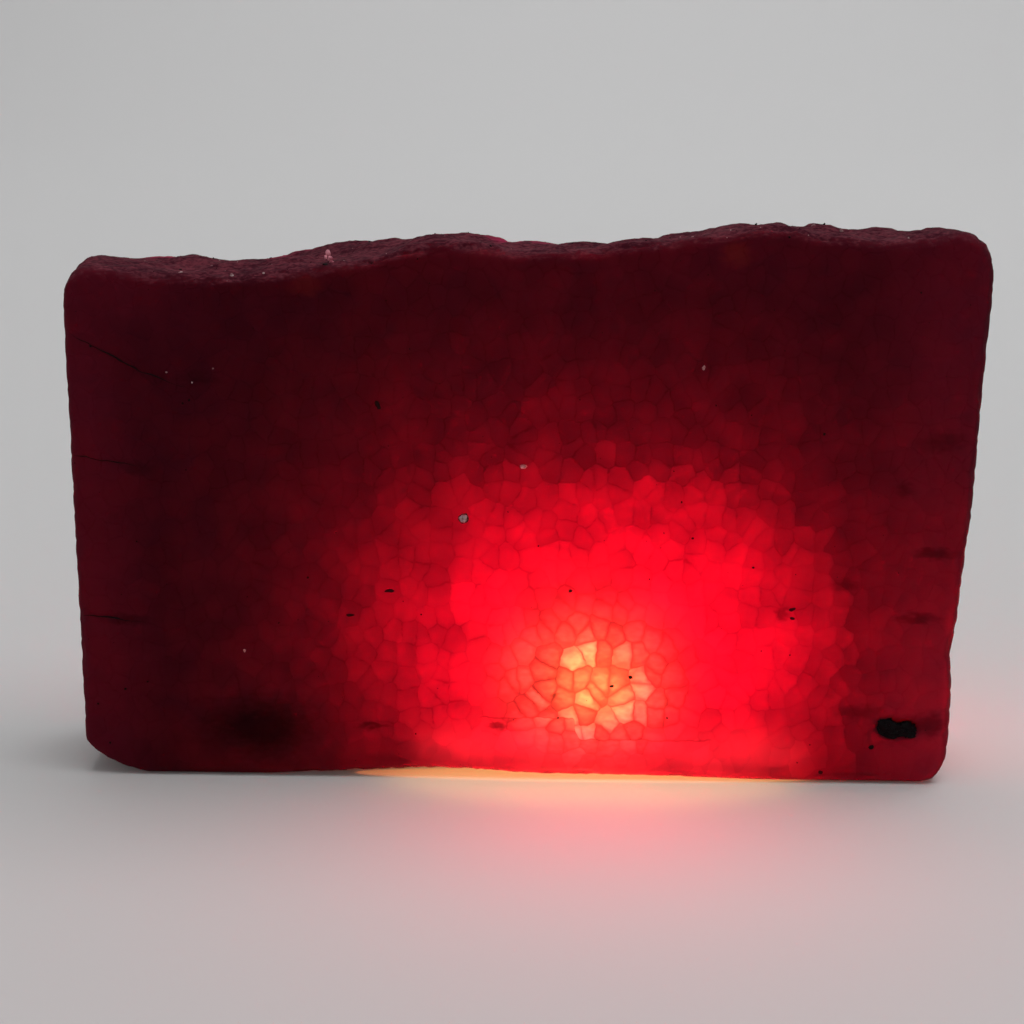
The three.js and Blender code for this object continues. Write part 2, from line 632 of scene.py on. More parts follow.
@dataclass(frozen=True)
class PaintedBackRimGlow:
    """A painted glow on the far edge of the top, standing in for the light behind the stone that shines
    through it.
    """

    notch: float = 0.6
    notch_reach: Ease = Ease(1.6, 5.0, 0.85, 0.0)
    notch_width: float = 2.5
    ragged: float = 3.0
    depth: Ease = Ease(3.6, 5.8)
    facing: Ease = Ease(0.0, 0.3)
    uneven: Ease = Ease(0.42, 0.64, 0.05, 0.75)

    def lay(self, here: Here) -> bpy.types.NodeSocket:
        """Works out how strong the painted glow on the far edge is.

        Args:
            here: The point.

        Returns:
            The share of the painted glow's colour.
        """
        desk = here.desk
        away = desk.maths("ABSOLUTE", desk.maths("ADD", here.at["X"], -self.notch))
        thin = desk.ramp(away, self.notch_reach)
        depth = desk.maths("MULTIPLY_ADD", here.fine, self.ragged, here.at["Y"])
        depth = desk.maths("MULTIPLY_ADD", thin, self.notch_width, depth)
        rim = desk.times(desk.ramp(depth, self.depth), desk.ramp(here.facing["Z"], self.facing))
        return desk.times(rim, desk.maths("MAXIMUM", thin, desk.ramp(here.soft, self.uneven)))


@dataclass(frozen=True)
class NaturalSkin:
    """The weathered skin of the top: where it lies and where its crests are."""

    speck_share: float = -1.2
    fine_share: float = -1.2
    facing: Ease = Ease(0.15, 0.5)
    through: Ease = Ease(2.9, 3.9, 1.0, 0.0)
    crest_speck: float = 0.5
    crest_soft: float = 0.2
    crest_fine: float = 0.3
    crest: Ease = Ease(0.38, 0.64)

    def lay(self, here: Here) -> bpy.types.NodeSocket:
        """Works out where the skin lies, with a ragged line along both faces.

        Args:
            here: The point.

        Returns:
            How much skin there is, from 0 to 1.
        """
        desk = here.desk
        through = desk.maths("ABSOLUTE", here.at["Y"])
        through = desk.maths("MULTIPLY_ADD", here.speck, self.speck_share, through)
        through = desk.maths("MULTIPLY_ADD", here.fine, self.fine_share, through)
        return desk.times(desk.ramp(here.facing["Z"], self.facing), desk.ramp(through, self.through))

    def crests(self, here: Here) -> bpy.types.NodeSocket:
        """Works out where the skin's pale crests are.

        Args:
            here: The point.

        Returns:
            The share of the crests' colour.
        """
        desk = here.desk
        lie = desk.times(here.soft, self.crest_soft)
        lie = desk.maths("MULTIPLY_ADD", here.speck, self.crest_speck, lie)
        lie = desk.maths("MULTIPLY_ADD", here.fine, self.crest_fine, lie)
        return desk.ramp(lie, self.crest)


@dataclass(frozen=True)
class RubyFinish:
    """Granular ruby: deep red and see-through in part, each grain clear to its own degree, with painted
    glow and shade laid around the torch's beam, at the ends and along the top's edges.
    """

    grains: GrainField
    tones: GrainToneAndPaintedGlow = GrainToneAndPaintedGlow()
    painted_edge_glow: PaintedEdgeGlow = PaintedEdgeGlow()
    rim: PaintedBackRimGlow = PaintedBackRimGlow()
    top_skin: NaturalSkin = NaturalSkin()
    name: str = "granular_ruby"
    body: Colour = (0.057, 0.0049, 0.0125, 1.0)
    dull: Colour = (0.04, 0.0038, 0.01, 1.0)
    dark: Colour = (0.010, 0.0015, 0.0025, 1.0)
    warm: Colour = (0.16, 0.014, 0.012, 1.0)
    # The lighter red of the painted glow at the ends and the painted highlight along the top edge.
    thin: Colour = (0.27, 0.015, 0.038, 1.0)
    # Painted glow on the far edge of the top.
    back_rim_glow: Colour = (0.42, 0.025, 0.085, 1.0)
    skin: Colour = (0.056, 0.009, 0.018, 1.0)
    skin_crest: Colour = (0.165, 0.034, 0.05, 1.0)
    shine: Colour = (0.4, 0.03, 0.055, 1.0)
    shine_level: float = 0.03
    passed: Colour = (0.9, 0.12, 0.06, 1.0)
    absorption: float = 120.0
    ior: float = 1.77
    roughness: float = 0.8
    clearness: float = 0.36
    fault_shade: float = 0.32
    end_clearness: Ease = Ease(0.25, 0.85, 1.0, 0.5)
    tone_chance: float = 0.4
    tone_soft: Ease = Ease(0.3, 0.7, 0.0, 0.6)
    drawn_out: Triple = (0.55, 1.0, 1.0)
    soft: Lumpiness = Lumpiness(0.4)
    fine: Lumpiness = Lumpiness(2.4, 1.0)
    specks: Lumpiness = Lumpiness(6.5, 1.0)
    patch_wobble: float = 0.9
    patch_depth: float = 1.2
    patch_edge: tuple[float, float] = (0.2, 1.1)
    turn: float = 0.03
    bulge: float = 0.03
    grit: float = 0.12
    skin_grit: float = 0.9

    def look(self, desk: NodeDesk) -> Here:
        """Reads what the finish needs at a point.

        Args:
            desk: The tree's desk.

        Returns:
            The point.
        """
        mm = desk.vector("SCALE", desk.add("ShaderNodeTexCoord").outputs["Object"], 1 / MM)
        drawn = desk.vector("MULTIPLY", mm, self.drawn_out)
        fine = desk.noise(drawn, self.fine)
        normal = desk.add("ShaderNodeNewGeometry").outputs["Normal"]
        return Here(
            desk=desk,
            mm=mm,
            at=desk.split(mm),
            normal=normal,
            facing=desk.split(normal),
            grains=self.grains.lay(desk, mm),
            soft=desk.noise(mm, self.soft)[0],
            fine=fine[0],
            swirl=desk.push(fine["Color"]),
            speck=desk.noise(drawn, self.specks)[0],
        )

    def patches(self, here: Here, group: tuple[Patch, ...]) -> bpy.types.NodeSocket:
        """Lays soft patches on the front face.

        Args:
            here: The point.
            group: The patches.

        Returns:
            How strongly the patches cover the point, from 0 to 1.
        """
        desk = here.desk
        wobbled = desk.vector("MULTIPLY_ADD", here.swirl, (self.patch_wobble,) * 3, here.mm)
        bare = 1.0
        for patch in group:
            reach = desk.vector("SUBTRACT", wobbled, (patch.x, FRONT, patch.z))
            oval = desk.vector("MULTIPLY", reach, (2 / patch.length, self.patch_depth, 2 / patch.height))
            left = desk.ramp(desk.measure("LENGTH", oval), Ease(*self.patch_edge, 1.0 - patch.depth, 1.0))
            bare = desk.times(left, bare)
        return desk.maths("SUBTRACT", 1.0, bare)

    def colour(self, here: Here, dark: bpy.types.NodeSocket,
               weathered: bpy.types.NodeSocket) -> bpy.types.NodeSocket:
        """Works out the stone's colour.

        Args:
            here: The point.
            dark: How strongly dark patches cover it.
            weathered: How much natural skin lies there.

        Returns:
            The colour.
        """
        desk = here.desk
        tone = desk.add("ShaderNodeSeparateColor", {"Color": here.grains.chance}).outputs["Green"]
        tone = desk.maths("MULTIPLY_ADD", tone, self.tone_chance, desk.ramp(here.soft, self.tone_soft))
        stone = desk.mix(tone, self.dull, self.body)
        # Painted glow at both ends and a painted highlight along the top edge.
        stone = desk.mix(self.painted_edge_glow.lay(here), stone, self.thin)
        stone = desk.mix(self.patches(here, WARM_PATCHES), stone, self.warm)
        stone = desk.mix(dark, stone, self.dark)
        crest = desk.mix(self.top_skin.crests(here), self.skin, self.skin_crest)
        # Painted glow on the far edge of the top, over the stone and its skin.
        return desk.mix(self.rim.lay(here), desk.mix(weathered, stone, crest), self.back_rim_glow)

    def surface(self, here: Here, weathered: bpy.types.NodeSocket) -> bpy.types.NodeSocket:
        """Turns each grain its own way and roughens the skin.

        Args:
            here: The point.
            weathered: How much natural skin lies there.

        Returns:
            The normal to shade with.
        """
        desk = here.desk
        chance = desk.push(here.grains.chance)
        bulge = desk.vector("SCALE", here.grains.lean, self.bulge)
        lean = desk.vector("MULTIPLY_ADD", chance, (self.turn,) * 3, bulge)
        grit = desk.maths("MULTIPLY_ADD", weathered, self.skin_grit, self.grit)
        lean = desk.vector("ADD", desk.vector("SCALE", here.swirl, grit), lean)
        return desk.vector("NORMALIZE", desk.vector("ADD", here.normal, lean))

    def build(self) -> bpy.types.Material:
        """Builds the material.

        Returns:
            The new material.
        """
        material = bpy.data.materials.new(self.name)
        material.use_nodes = True
        material.node_tree.nodes.clear()
        desk = NodeDesk(material.node_tree)
        here = self.look(desk)
        fault = desk.times(here.grains.fault, self.fault_shade)
        dark = desk.maths("MAXIMUM", self.patches(here, DARK_PATCHES), fault)
        weathered = self.top_skin.lay(here)
        # The clearness carries painted glow around the torch's beam and painted shade outside the dome of
        # the glow.
        clear = desk.times(self.tones.lay(here), desk.maths("SUBTRACT", 1.0, dark))
        clear = desk.maths("MULTIPLY", clear, self.clearness, clamp=True)
        ends = desk.ramp(desk.maths("ABSOLUTE", here.facing["X"]), self.end_clearness)
        shader = desk.add("ShaderNodeBsdfPrincipled", {
            "Base Color": self.colour(here, dark, weathered),
            "Roughness": self.roughness,
            "IOR": self.ior,
            "Normal": self.surface(here, weathered),
            "Specular IOR Level": self.shine_level,
            "Specular Tint": self.shine,
            "Transmission Weight": desk.times(clear, ends, desk.maths("SUBTRACT", 1.0, weathered)),
        })
        absorb = desk.add("ShaderNodeVolumeAbsorption", {"Color": self.passed, "Density": self.absorption})
        desk.add("ShaderNodeOutputMaterial", {"Surface": shader.outputs[0], "Volume": absorb.outputs[0]})
        return material


@dataclass(frozen=True)
class GrainyFinish:
    """A dry, grainy finish: the black mineral or the pale dust, uneven in tone and gloss."""

    name: str
    dark: Colour
    light: Colour
    smooth: float
    rough: float
    lumps: Lumpiness = Lumpiness(3.5, 3.0)
    shine: float = 0.3
    tone: Ease = Ease(0.35, 0.65)
    bump: float = 0.4
    bump_height: float = 0.1 * MM

    def build(self) -> bpy.types.Material:
        """Builds the material.

        Returns:
            The new material.
        """
        material = bpy.data.materials.new(self.name)
        material.use_nodes = True
        desk = NodeDesk(material.node_tree)
        shader = material.node_tree.nodes["Principled BSDF"]
        mm = desk.vector("SCALE", desk.add("ShaderNodeTexCoord").outputs["Object"], 1 / MM)
        noise = desk.noise(mm, self.lumps)[0]
        tone = desk.ramp(noise, self.tone)
        bump = {"Height": noise, "Strength": self.bump, "Distance": self.bump_height}
        desk.feed(shader.inputs["Base Color"], desk.mix(tone, self.dark, self.light))
        desk.feed(shader.inputs["Roughness"], desk.ramp(tone, Ease(0.0, 1.0, self.smooth, self.rough)))
        desk.feed(shader.inputs["Specular IOR Level"], self.shine)
        desk.feed(shader.inputs["Normal"], desk.add("ShaderNodeBump", bump).outputs[0])
        return material


BLACK_MINERAL = GrainyFinish(
    "black_mineral_grain", (0.002, 0.001, 0.0015, 1.0), (0.006, 0.002, 0.003, 1.0), 0.5, 0.8, shine=0.1,
)
PALE_DUST = GrainyFinish("pale_stone_dust", (0.26, 0.12, 0.13, 1.0), (0.58, 0.42, 0.42, 1.0), 0.8, 0.95)
PINK_CHIP = GrainyFinish(
    "pink_chip", (0.35, 0.05, 0.09, 1.0), (0.95, 0.36, 0.44, 1.0), 0.35, 0.7, Lumpiness(2.2, 3.0),
)


@dataclass(frozen=True)
class Spot:
    """One grain set in the stone: its middle and its size along X, Y and Z, in millimetres."""

    x: float
    y: float
    z: float
    length: float
    through: float
    height: float


POCKET_GRAIN = (
    Spot(26.4, -4.7, 4.45, 1.8, 0.7, 1.35),
    Spot(27.3, -4.7, 4.25, 2.4, 0.7, 1.2),
    Spot(28.2, -4.75, 4.0, 1.5, 0.6, 0.8),
    Spot(26.9, -4.75, 3.75, 0.9, 0.5, 0.5),
)
DARK_SPOTS = (
    Spot(25.4, FRONT, 2.9, 0.4, 0.16, 0.35),
    Spot(6.4, FRONT, 7.4, 0.34, 0.12, 0.2),
    Spot(7.8, FRONT, 8.1, 0.3, 0.12, 0.24),
    Spot(3.4, FRONT, 14.6, 0.24, 0.1, 0.22),
    Spot(-12.5, FRONT, 12.6, 0.7, 0.12, 0.22),
    Spot(-9.7, FRONT, 14.5, 0.62, 0.12, 0.28),
    Spot(-10.3, FRONT, 28.1, 0.36, 0.14, 0.6),
    Spot(19.3, FRONT, 13.4, 0.5, 0.12, 0.26),
    Spot(19.3, FRONT, 12.7, 0.4, 0.12, 0.2),
    Spot(21.8, FRONT, 0.9, 0.34, 0.14, 0.3),
    Spot(-4.25, FRONT, 19.95, 0.68, 0.1, 0.76),
    Spot(-13.8, -4.2, 37.9, 0.5, 0.4, 0.3),
    Spot(14.2, 4.0, 39.15, 0.24, 0.26, 0.6),
)
PALE_SPOTS = (
    Spot(-4.3, FRONT - 0.05, 20.0, 0.5, 0.16, 0.56),
    Spot(0.0, FRONT, 23.8, 0.42, 0.14, 0.24),
    Spot(12.6, FRONT, 31.0, 0.24, 0.12, 0.28),
    Spot(-20.3, FRONT, 9.8, 0.2, 0.1, 0.24),
    Spot(-25.2, FRONT, 30.4, 0.18, 0.1, 0.14),
    Spot(-23.4, FRONT, 29.7, 0.14, 0.1, 0.14),
    Spot(-21.9, FRONT, 30.7, 0.14, 0.1, 0.12),
    Spot(-24.2, -3.2, 37.2, 0.34, 0.3, 0.24),
    Spot(-20.5, -4.0, 37.12, 0.3, 0.24, 0.3),
    Spot(20.5, 1.5, 40.0, 0.36, 0.3, 0.3),
    Spot(22.4, 0.5, 39.85, 0.3, 0.3, 0.26),
)
CHIP_SPOTS = (
    Spot(-13.8, -3.2, 38.6, 0.34, 0.3, 0.5),
    Spot(-13.65, -3.5, 38.25, 0.4, 0.3, 0.36),
    Spot(-13.45, -3.7, 38.0, 0.34, 0.3, 0.3),
    Spot(-13.95, -3.4, 38.35, 0.22, 0.24, 0.3),
)
HAIRLINES = (
    ((-31.9, 33.2), (-30.4, 32.3), (-28.6, 31.3), (-26.4, 30.2), (-23.7, 29.2)),
    ((-32.1, 24.3), (-30.2, 24.0), (-27.6, 23.6)),
    ((-32.0, 12.4), (-29.6, 12.2), (-27.4, 11.9)),
)


def add_tree(piece: bpy.types.Object, tree: bpy.types.GeometryNodeTree, values: dict[str, float]) -> None:
    """Puts a geometry node tree on a piece and sets its inputs by their identifiers.

    Args:
        piece: The piece.
        tree: The tree.
        values: The tree's inputs by name.
    """
    modifier = piece.modifiers.new("shape", "NODES")
    modifier.node_group = tree
    for socket in tree.interface.items_tree:
        if socket.in_out == "INPUT" and socket.name in values:
            modifier[socket.identifier] = values[socket.name]


def settle(piece: bpy.types.Object) -> bpy.types.Object:
    """Turns a piece into a plain mesh that rides on the stone's body.

    Args:
        piece: The piece with its modifiers.

    Returns:
        The same piece, finished.
    """
    made = bpy.data.meshes.new_from_object(piece.evaluated_get(bpy.context.evaluated_depsgraph_get()))
    piece.modifiers.clear()
    piece.data = made
    made.name = piece.name
    made.shade_smooth()
    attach(piece, BODY)
    return piece


@dataclass
class SmallPiece:
    """A small piece on the stone, which a geometry node tree makes from a mesh."""

    name: str
    finish: GrainyFinish
    slot: Slot

    def make(self, mesh: bpy.types.Mesh, tree: bpy.types.GeometryNodeTree,
             values: dict[str, float]) -> bpy.types.Object:
        """Runs a tree on a mesh once and keeps the result.

        Args:
            mesh: The mesh that goes into the tree.
            tree: The tree.
            values: The tree's inputs by name.

        Returns:
            The finished piece.
        """
        mesh.name = self.name
        mesh.materials.clear()
        piece = bpy.data.objects.new(self.name, mesh)
        bpy.context.scene.collection.objects.link(piece)
        add_tree(piece, tree, values)
        return settle(piece)


@dataclass
class SetGrains(SmallPiece):
    """Grains set in the stone at named spots, each an uneven lump of its own size."""

    spots: tuple[Spot, ...]
    unevenness: float = 0.6
    subdivisions: int = 3
    turn: float = 0.5
    lumps: Lumpiness = Lumpiness(1.9, 2.0, 0.6)
    push: Triple = (1.6, 0.5, 1.6)
    seed: int = 3

    def tree(self) -> bpy.types.GeometryNodeTree:
        """Builds the tree that puts an uneven lump on every point.

        Returns:
            The new tree.
        """
        desk = ShapeDesk(self.name, ("Unevenness",))
        named = desk.add("GeometryNodeInputNamedAttribute", {"Name": "size"}, data_type="FLOAT_VECTOR")
        size = named.outputs[0]
        turn = desk.random((0.0, -self.turn, 0.0), (0.0, self.turn, 0.0), self.seed)
        lumps = desk.lumps(desk.given["Geometry"], turn, size, self.subdivisions)
        noise = desk.noise(desk.mm, self.lumps)["Color"]
        push = desk.vector("MULTIPLY", desk.push(noise), size)
        push = desk.vector("SCALE", desk.vector("MULTIPLY", push, self.push), desk.given["Unevenness"])
        return desk.finish(desk.shift(lumps, push), self.finish.build())

    def build(self) -> bpy.types.Object:
        """Builds the grains.

        Returns:
            The finished piece.
        """
        mesh = bpy.data.meshes.new(self.name)
        mesh.from_pydata([(s.x * MM, s.y * MM, s.z * MM) for s in self.spots], [], [])
        size = mesh.attributes.new("size", "FLOAT_VECTOR", "POINT")
        for item, spot in zip(size.data, self.spots):
            item.vector = (spot.length * MM, spot.through * MM, spot.height * MM)
        return self.make(mesh, self.tree(), {"Unevenness": self.unevenness})


@dataclass
class ScatteredGrains(SmallPiece):
    """Tiny grains strewn over one side of the stone, by a fixed seed, in millimetres."""

    side: Side
    per_square_mm: float
    smallest: float
    largest: float
    flatness: Triple
    seed: int
    reach: float = 0.7
    rarity: float = 3.0
    subdivisions: int = 2
    lumps: Lumpiness = Lumpiness(7.0, 1.0)
    push: float = 0.8

    def tree(self) -> bpy.types.GeometryNodeTree:
        """Builds the tree that strews grains over the faces that look one way.

        Returns:
            The new tree.
        """
        desk = ShapeDesk(self.name, ("Density", "Smallest", "Largest"))
        given = desk.given
        normal = desk.add("GeometryNodeInputNormal").outputs[0]
        turned = desk.measure("DOT_PRODUCT", normal, self.side.value)
        strewn = desk.add("GeometryNodeDistributePointsOnFaces", {
            "Mesh": given["Geometry"], "Selection": desk.maths("GREATER_THAN", turned, self.reach),
            "Density": given["Density"], "Seed": self.seed,
        })
        spin = desk.random((0.0, 0.0, 0.0), (0.0, FULL_TURN, 0.0), self.seed + 1)
        draw = desk.add("FunctionNodeRandomValue", {"Seed": self.seed + 2}, data_type="FLOAT")
        share = desk.maths("POWER", draw.outputs["Value"], self.rarity)
        span = desk.maths("SUBTRACT", given["Largest"], given["Smallest"])
        width = desk.maths("MULTIPLY_ADD", share, span, given["Smallest"])
        size = desk.vector("SCALE", self.flatness, width)
        lumps = desk.lumps(strewn.outputs["Points"], spin, size, self.subdivisions)
        noise = desk.noise(desk.mm, self.lumps)["Color"]
        push = desk.vector("SCALE", desk.push(noise), desk.times(given["Smallest"], self.push))
        return desk.finish(desk.shift(lumps, push), self.finish.build())

    def build(self, stone: bpy.types.Object) -> bpy.types.Object:
        """Builds the grains.

        Args:
            stone: The finished stone that they lie on.

        Returns:
            The finished piece.
        """
        values = {
            "Density": self.per_square_mm / MM ** 2,
            "Smallest": self.smallest * MM,
            "Largest": self.largest * MM,
        }
        return self.make(stone.data.copy(), self.tree(), values)


@dataclass
class Hairlines(SmallPiece):
    """Hairline cracks filled with dark mineral, each a thin thread let into the front face."""

    lines: tuple[tuple[tuple[float, float], ...], ...]
    radius: float = 0.05 * MM
    wander: float = 0.5 * MM
    step: float = 0.3 * MM
    sides: int = 6
    bends: Lumpiness = Lumpiness(0.9, 2.0)
    head: Ease = Ease(0.0, 0.25, 0.25, 1.0)
    tail: Ease = Ease(0.6, 1.0, 1.0, 0.2)
    uneven: Ease = Ease(0.3, 0.7, 0.5, 1.3)

    def tree(self) -> bpy.types.GeometryNodeTree:
        """Builds the tree that turns each line into a tapered, wandering thread.

        Returns:
            The new tree.
        """
        desk = ShapeDesk(self.name, ("Radius", "Wander"))
        line = desk.add("GeometryNodeMeshToCurve", {"Mesh": desk.given["Geometry"]}).outputs[0]
        even = desk.add("GeometryNodeResampleCurve", {"Curve": line, "Length": self.step}, mode="LENGTH")
        noise = desk.noise(desk.mm, self.bends)
        flat = desk.vector("MULTIPLY", desk.push(noise["Color"]), (1.0, 0.0, 1.0))
        bent = desk.shift(even.outputs[0], desk.vector("SCALE", flat, desk.given["Wander"]))
        along = desk.add("GeometryNodeSplineParameter").outputs["Factor"]
        ends = desk.times(desk.ramp(along, self.head), desk.ramp(along, self.tail))
        width = desk.times(ends, desk.ramp(noise[0], self.uneven))
        sized = desk.add("GeometryNodeSetCurveRadius", {"Curve": bent, "Radius": width})
        across = {"Resolution": self.sides, "Radius": desk.given["Radius"]}
        ring = desk.add("GeometryNodeCurvePrimitiveCircle", across)
        thread = desk.add("GeometryNodeCurveToMesh", {
            "Curve": sized.outputs[0], "Profile Curve": ring.outputs[0], "Fill Caps": True,
        })
        if "Scale" in thread.inputs:
            desk.feed(thread.inputs["Scale"], width)
        return desk.finish(thread.outputs[0], self.finish.build())

    def build(self) -> bpy.types.Object:
        """Builds the threads.

        Returns:
            The finished piece.
        """
        verts = []
        edges = []
        for line in self.lines:
            first = len(verts)
            verts.extend((x * MM, FRONT * MM, z * MM) for x, z in line)
            edges.extend((i, i + 1) for i in range(first, len(verts) - 1))
        mesh = bpy.data.meshes.new(self.name)
        mesh.from_pydata(verts, edges, [])
        return self.make(mesh, self.tree(), {"Radius": self.radius, "Wander": self.wander})


@dataclass(frozen=True)
class PaperFinish:
    """Plain pale paper under and behind the stone."""

    name: str = "pale_paper"
    colour: Colour = (0.75, 0.75, 0.755, 1.0)
    roughness: float = 0.9
    shine: float = 0.1

    def build(self) -> bpy.types.Material:
        """Builds the material.

        Returns:
            The new material.
        """
        material = bpy.data.materials.new(self.name)
        material.use_nodes = True
        shader = material.node_tree.nodes["Principled BSDF"]
        shader.inputs["Base Color"].default_value = self.colour
        shader.inputs["Roughness"].default_value = self.roughness
        shader.inputs["Specular IOR Level"].default_value = self.shine
        return material


@dataclass
class SlabSkin:
    """The stone itself: a fine skin of even cells over the solid's own shape, then its relief."""

    grains: GrainField
    finish: RubyFinish
    name: str = "stone_skin"
    voxel: float = 0.3 * MM
    weld: float = 0.001 * MM
    grain_relief: float = 0.06 * MM
    skin_relief: float = 0.17 * MM
    grit_relief: float = 0.065 * MM
    edge_chips: float = 0.3 * MM
    groove: Ease = Ease(0.0, 0.45, -1.0, 0.0)
    middle: Ease = Ease(27.0, 30.5, 1.0, 0.15)
    top: Ease = Ease(0.25, 0.75)
    edge_in: Ease = Ease(0.1, 0.5)
    edge_out: Ease = Ease(0.75, 0.97, 1.0, 0.0)
    edge_middle: tuple[float, float] = (0.7, 0.3)
    drawn_out: Triple = (0.28, 1.0, 1.0)
    crease_noise: Lumpiness = Lumpiness(0.6, 3.0)
    crease_fold: tuple[float, float] = (4.0, -2.0)
    crease: Ease = Ease(0.0, 0.7, -1.0, 0.15)
    grit_noise: Lumpiness = Lumpiness(1.6, 3.0, 0.65)
    grit_top: float = 2.0
    grit_edge: tuple[float, float] = (0.8, 0.12)
    chip_noise: Lumpiness = Lumpiness(0.5, 2.0)
    chip: Ease = Ease(0.52, 0.66, 0.0, -1.0)
    foot: Ease = Ease(0.05, 0.5)

    def heights(self) -> dict[str, float]:
        """Gives the relief tree's inputs.

        Returns:
            The heights in metres, by their names in the tree.
        """
        return {
            "Grain Relief": self.grain_relief,
            "Skin Relief": self.skin_relief,
            "Grit Relief": self.grit_relief,
            "Edge Chips": self.edge_chips,
        }

    def tree(self) -> bpy.types.GeometryNodeTree:
        """Builds the tree that raises the stone's relief along its normals.

        Returns:
            The new tree.
        """
        desk = ShapeDesk("stone_relief", tuple(self.heights()))
        given, mm = desk.given, desk.mm
        normal = desk.add("GeometryNodeInputNormal").outputs[0]
        at = desk.split(mm)
        facing = desk.split(normal)
        middle = desk.ramp(desk.maths("ABSOLUTE", at["X"]), self.middle)
        top = desk.times(desk.ramp(facing["Z"], self.top), middle)
        across = desk.maths("ABSOLUTE", facing["Y"])
        edge = desk.times(desk.ramp(across, self.edge_in), desk.ramp(across, self.edge_out))
        edge = desk.times(edge, desk.maths("MULTIPLY_ADD", middle, *self.edge_middle))
        broad = desk.noise(desk.vector("MULTIPLY", mm, self.drawn_out), self.crease_noise)[0]
        ridge = desk.maths("ABSOLUTE", desk.maths("MULTIPLY_ADD", broad, *self.crease_fold))
        crease = desk.times(desk.ramp(ridge, self.crease), top)
        grit = desk.maths("SUBTRACT", desk.noise(mm, self.grit_noise)[0], 0.5)
        gritty = desk.maths("MULTIPLY_ADD", edge, *self.grit_edge)
        gritty = desk.maths("MULTIPLY_ADD", top, self.grit_top, gritty)
        chip = desk.times(desk.ramp(desk.noise(mm, self.chip_noise)[0], self.chip), edge)
        groove = desk.ramp(self.grains.lay(desk, mm).gap, self.groove)
        height = desk.times(groove, given["Grain Relief"])
        height = desk.maths("ADD", height, desk.times(crease, given["Skin Relief"]))
        height = desk.maths("ADD", height, desk.times(grit, gritty, given["Grit Relief"]))
        height = desk.maths("ADD", height, desk.times(chip, given["Edge Chips"]))
        height = desk.times(height, desk.ramp(at["Z"], self.foot))
        raised = desk.shift(given["Geometry"], desk.vector("SCALE", normal, height))
        return desk.finish(raised, self.finish.build())

    def build(self, node: bpy.types.Object) -> bpy.types.Object:
        """Builds the stone's skin around a CAD node.

        Args:
            node: The CAD node, which is copied and left alone.

        Returns:
            The finished piece.
        """
        mesh = node.data.copy()
        mesh.materials.clear()
        shape = bmesh.new()
        shape.from_mesh(mesh)
        bmesh.ops.remove_doubles(shape, verts=shape.verts, dist=self.weld)
        shape.to_mesh(mesh)
        shape.free()
        piece = bpy.data.objects.new(self.name, mesh)
        bpy.context.scene.collection.objects.link(piece)
        remesh = piece.modifiers.new("even_cells", "REMESH")
        remesh.mode = "VOXEL"
        remesh.voxel_size = self.voxel
        remesh.use_smooth_shade = True
        add_tree(piece, self.tree(), self.heights())
        settle(piece)
        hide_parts(CAD_NODE)
        return piece


class LampShape(Enum):
    """Shapes of an area lamp."""

    ELLIPSE = "ELLIPSE"
    SQUARE = "SQUARE"
    RECTANGLE = "RECTANGLE"


@dataclass(frozen=True)
class Lamp:
    """One area lamp: its place, what it looks at and its size in millimetres, its power in watts."""

    name: str
    place: Triple
    target: Triple
    power: float
    size: tuple[float, float]
    colour: Triple = (1.0, 1.0, 1.0)
    shape: LampShape = LampShape.ELLIPSE

    def build(self) -> bpy.types.Object:
        """Adds the lamp.

        Returns:
            The lamp.
        """
        light = bpy.data.lights.new(self.name, "AREA")
        light.energy = self.power
        light.color = self.colour
        light.shape = self.shape.value
        light.size = self.size[0] * MM
        light.size_y = self.size[1] * MM
        lamp = bpy.data.objects.new(self.name, light)
        place = Vector([value * MM for value in self.place])
        target = Vector([value * MM for value in self.target])
        lamp.location = place
        lamp.rotation_euler = (target - place).to_track_quat("-Z", "Y").to_euler()
        bpy.context.scene.collection.objects.link(lamp)
        return lamp


OVERHEAD = Lamp("overhead", (200, 20, 800), (0, 0, 0), 3.6, (800, 800), shape=LampShape.SQUARE)
# The torch behind the stone, and the hot spot of its beam inside: core, halo and foot.
TORCH_LAMPS = (
    Lamp("torch", (6.4, 19, 4.6), (6.4, 0, 4.6), 1.48, (26, 11), (1.0, 0.03, 0.17)),
    Lamp("torch_core", (5.0, 0.5, 6.3), (5.0, -5, 6.3), 0.0026, (5.4, 4.8), (1.0, 0.9, 0.11)),
    Lamp("torch_halo", (4.8, 1.5, 6.0), (4.8, -5, 6.0), 0.0066, (12, 10), (1.0, 0.38, 0.13)),
    Lamp("torch_foot", (6.2, -1.0, 1.4), (6.2, -5, 1.8), 0.0024, (29, 3.2), (1.0, 0.1, 0.1)),
)
# What the glowing stone throws on the paper, and a wash over the paper far behind it.
SPILL_LAMPS = (
    Lamp("gap_glow", (5, -5, 2.4), (5, -5, 0), 0.00044, (30, 9), (1.0, 0.5, 0.16)),
    Lamp("gap_line", (4.5, -3.9, 0.14), (4.5, -3.9, 0), 0.00011, (34, 2.6), (1.0, 0.27, 0.06)),
    Lamp("front_glow", (6, -5.4, 15), (6, -30, 15), 0.005, (18, 14), (1.0, 0.02, 0.05)),
    Lamp("backdrop_wash", (0, 520, 400), (0, 520, 0), 0.26, (350, 350), shape=LampShape.SQUARE),
    Lamp("end_glow", (33, 3, 12), (45, 12, 0), 0.0005, (8, 16), (1.0, 0.1, 0.09), LampShape.RECTANGLE),
)


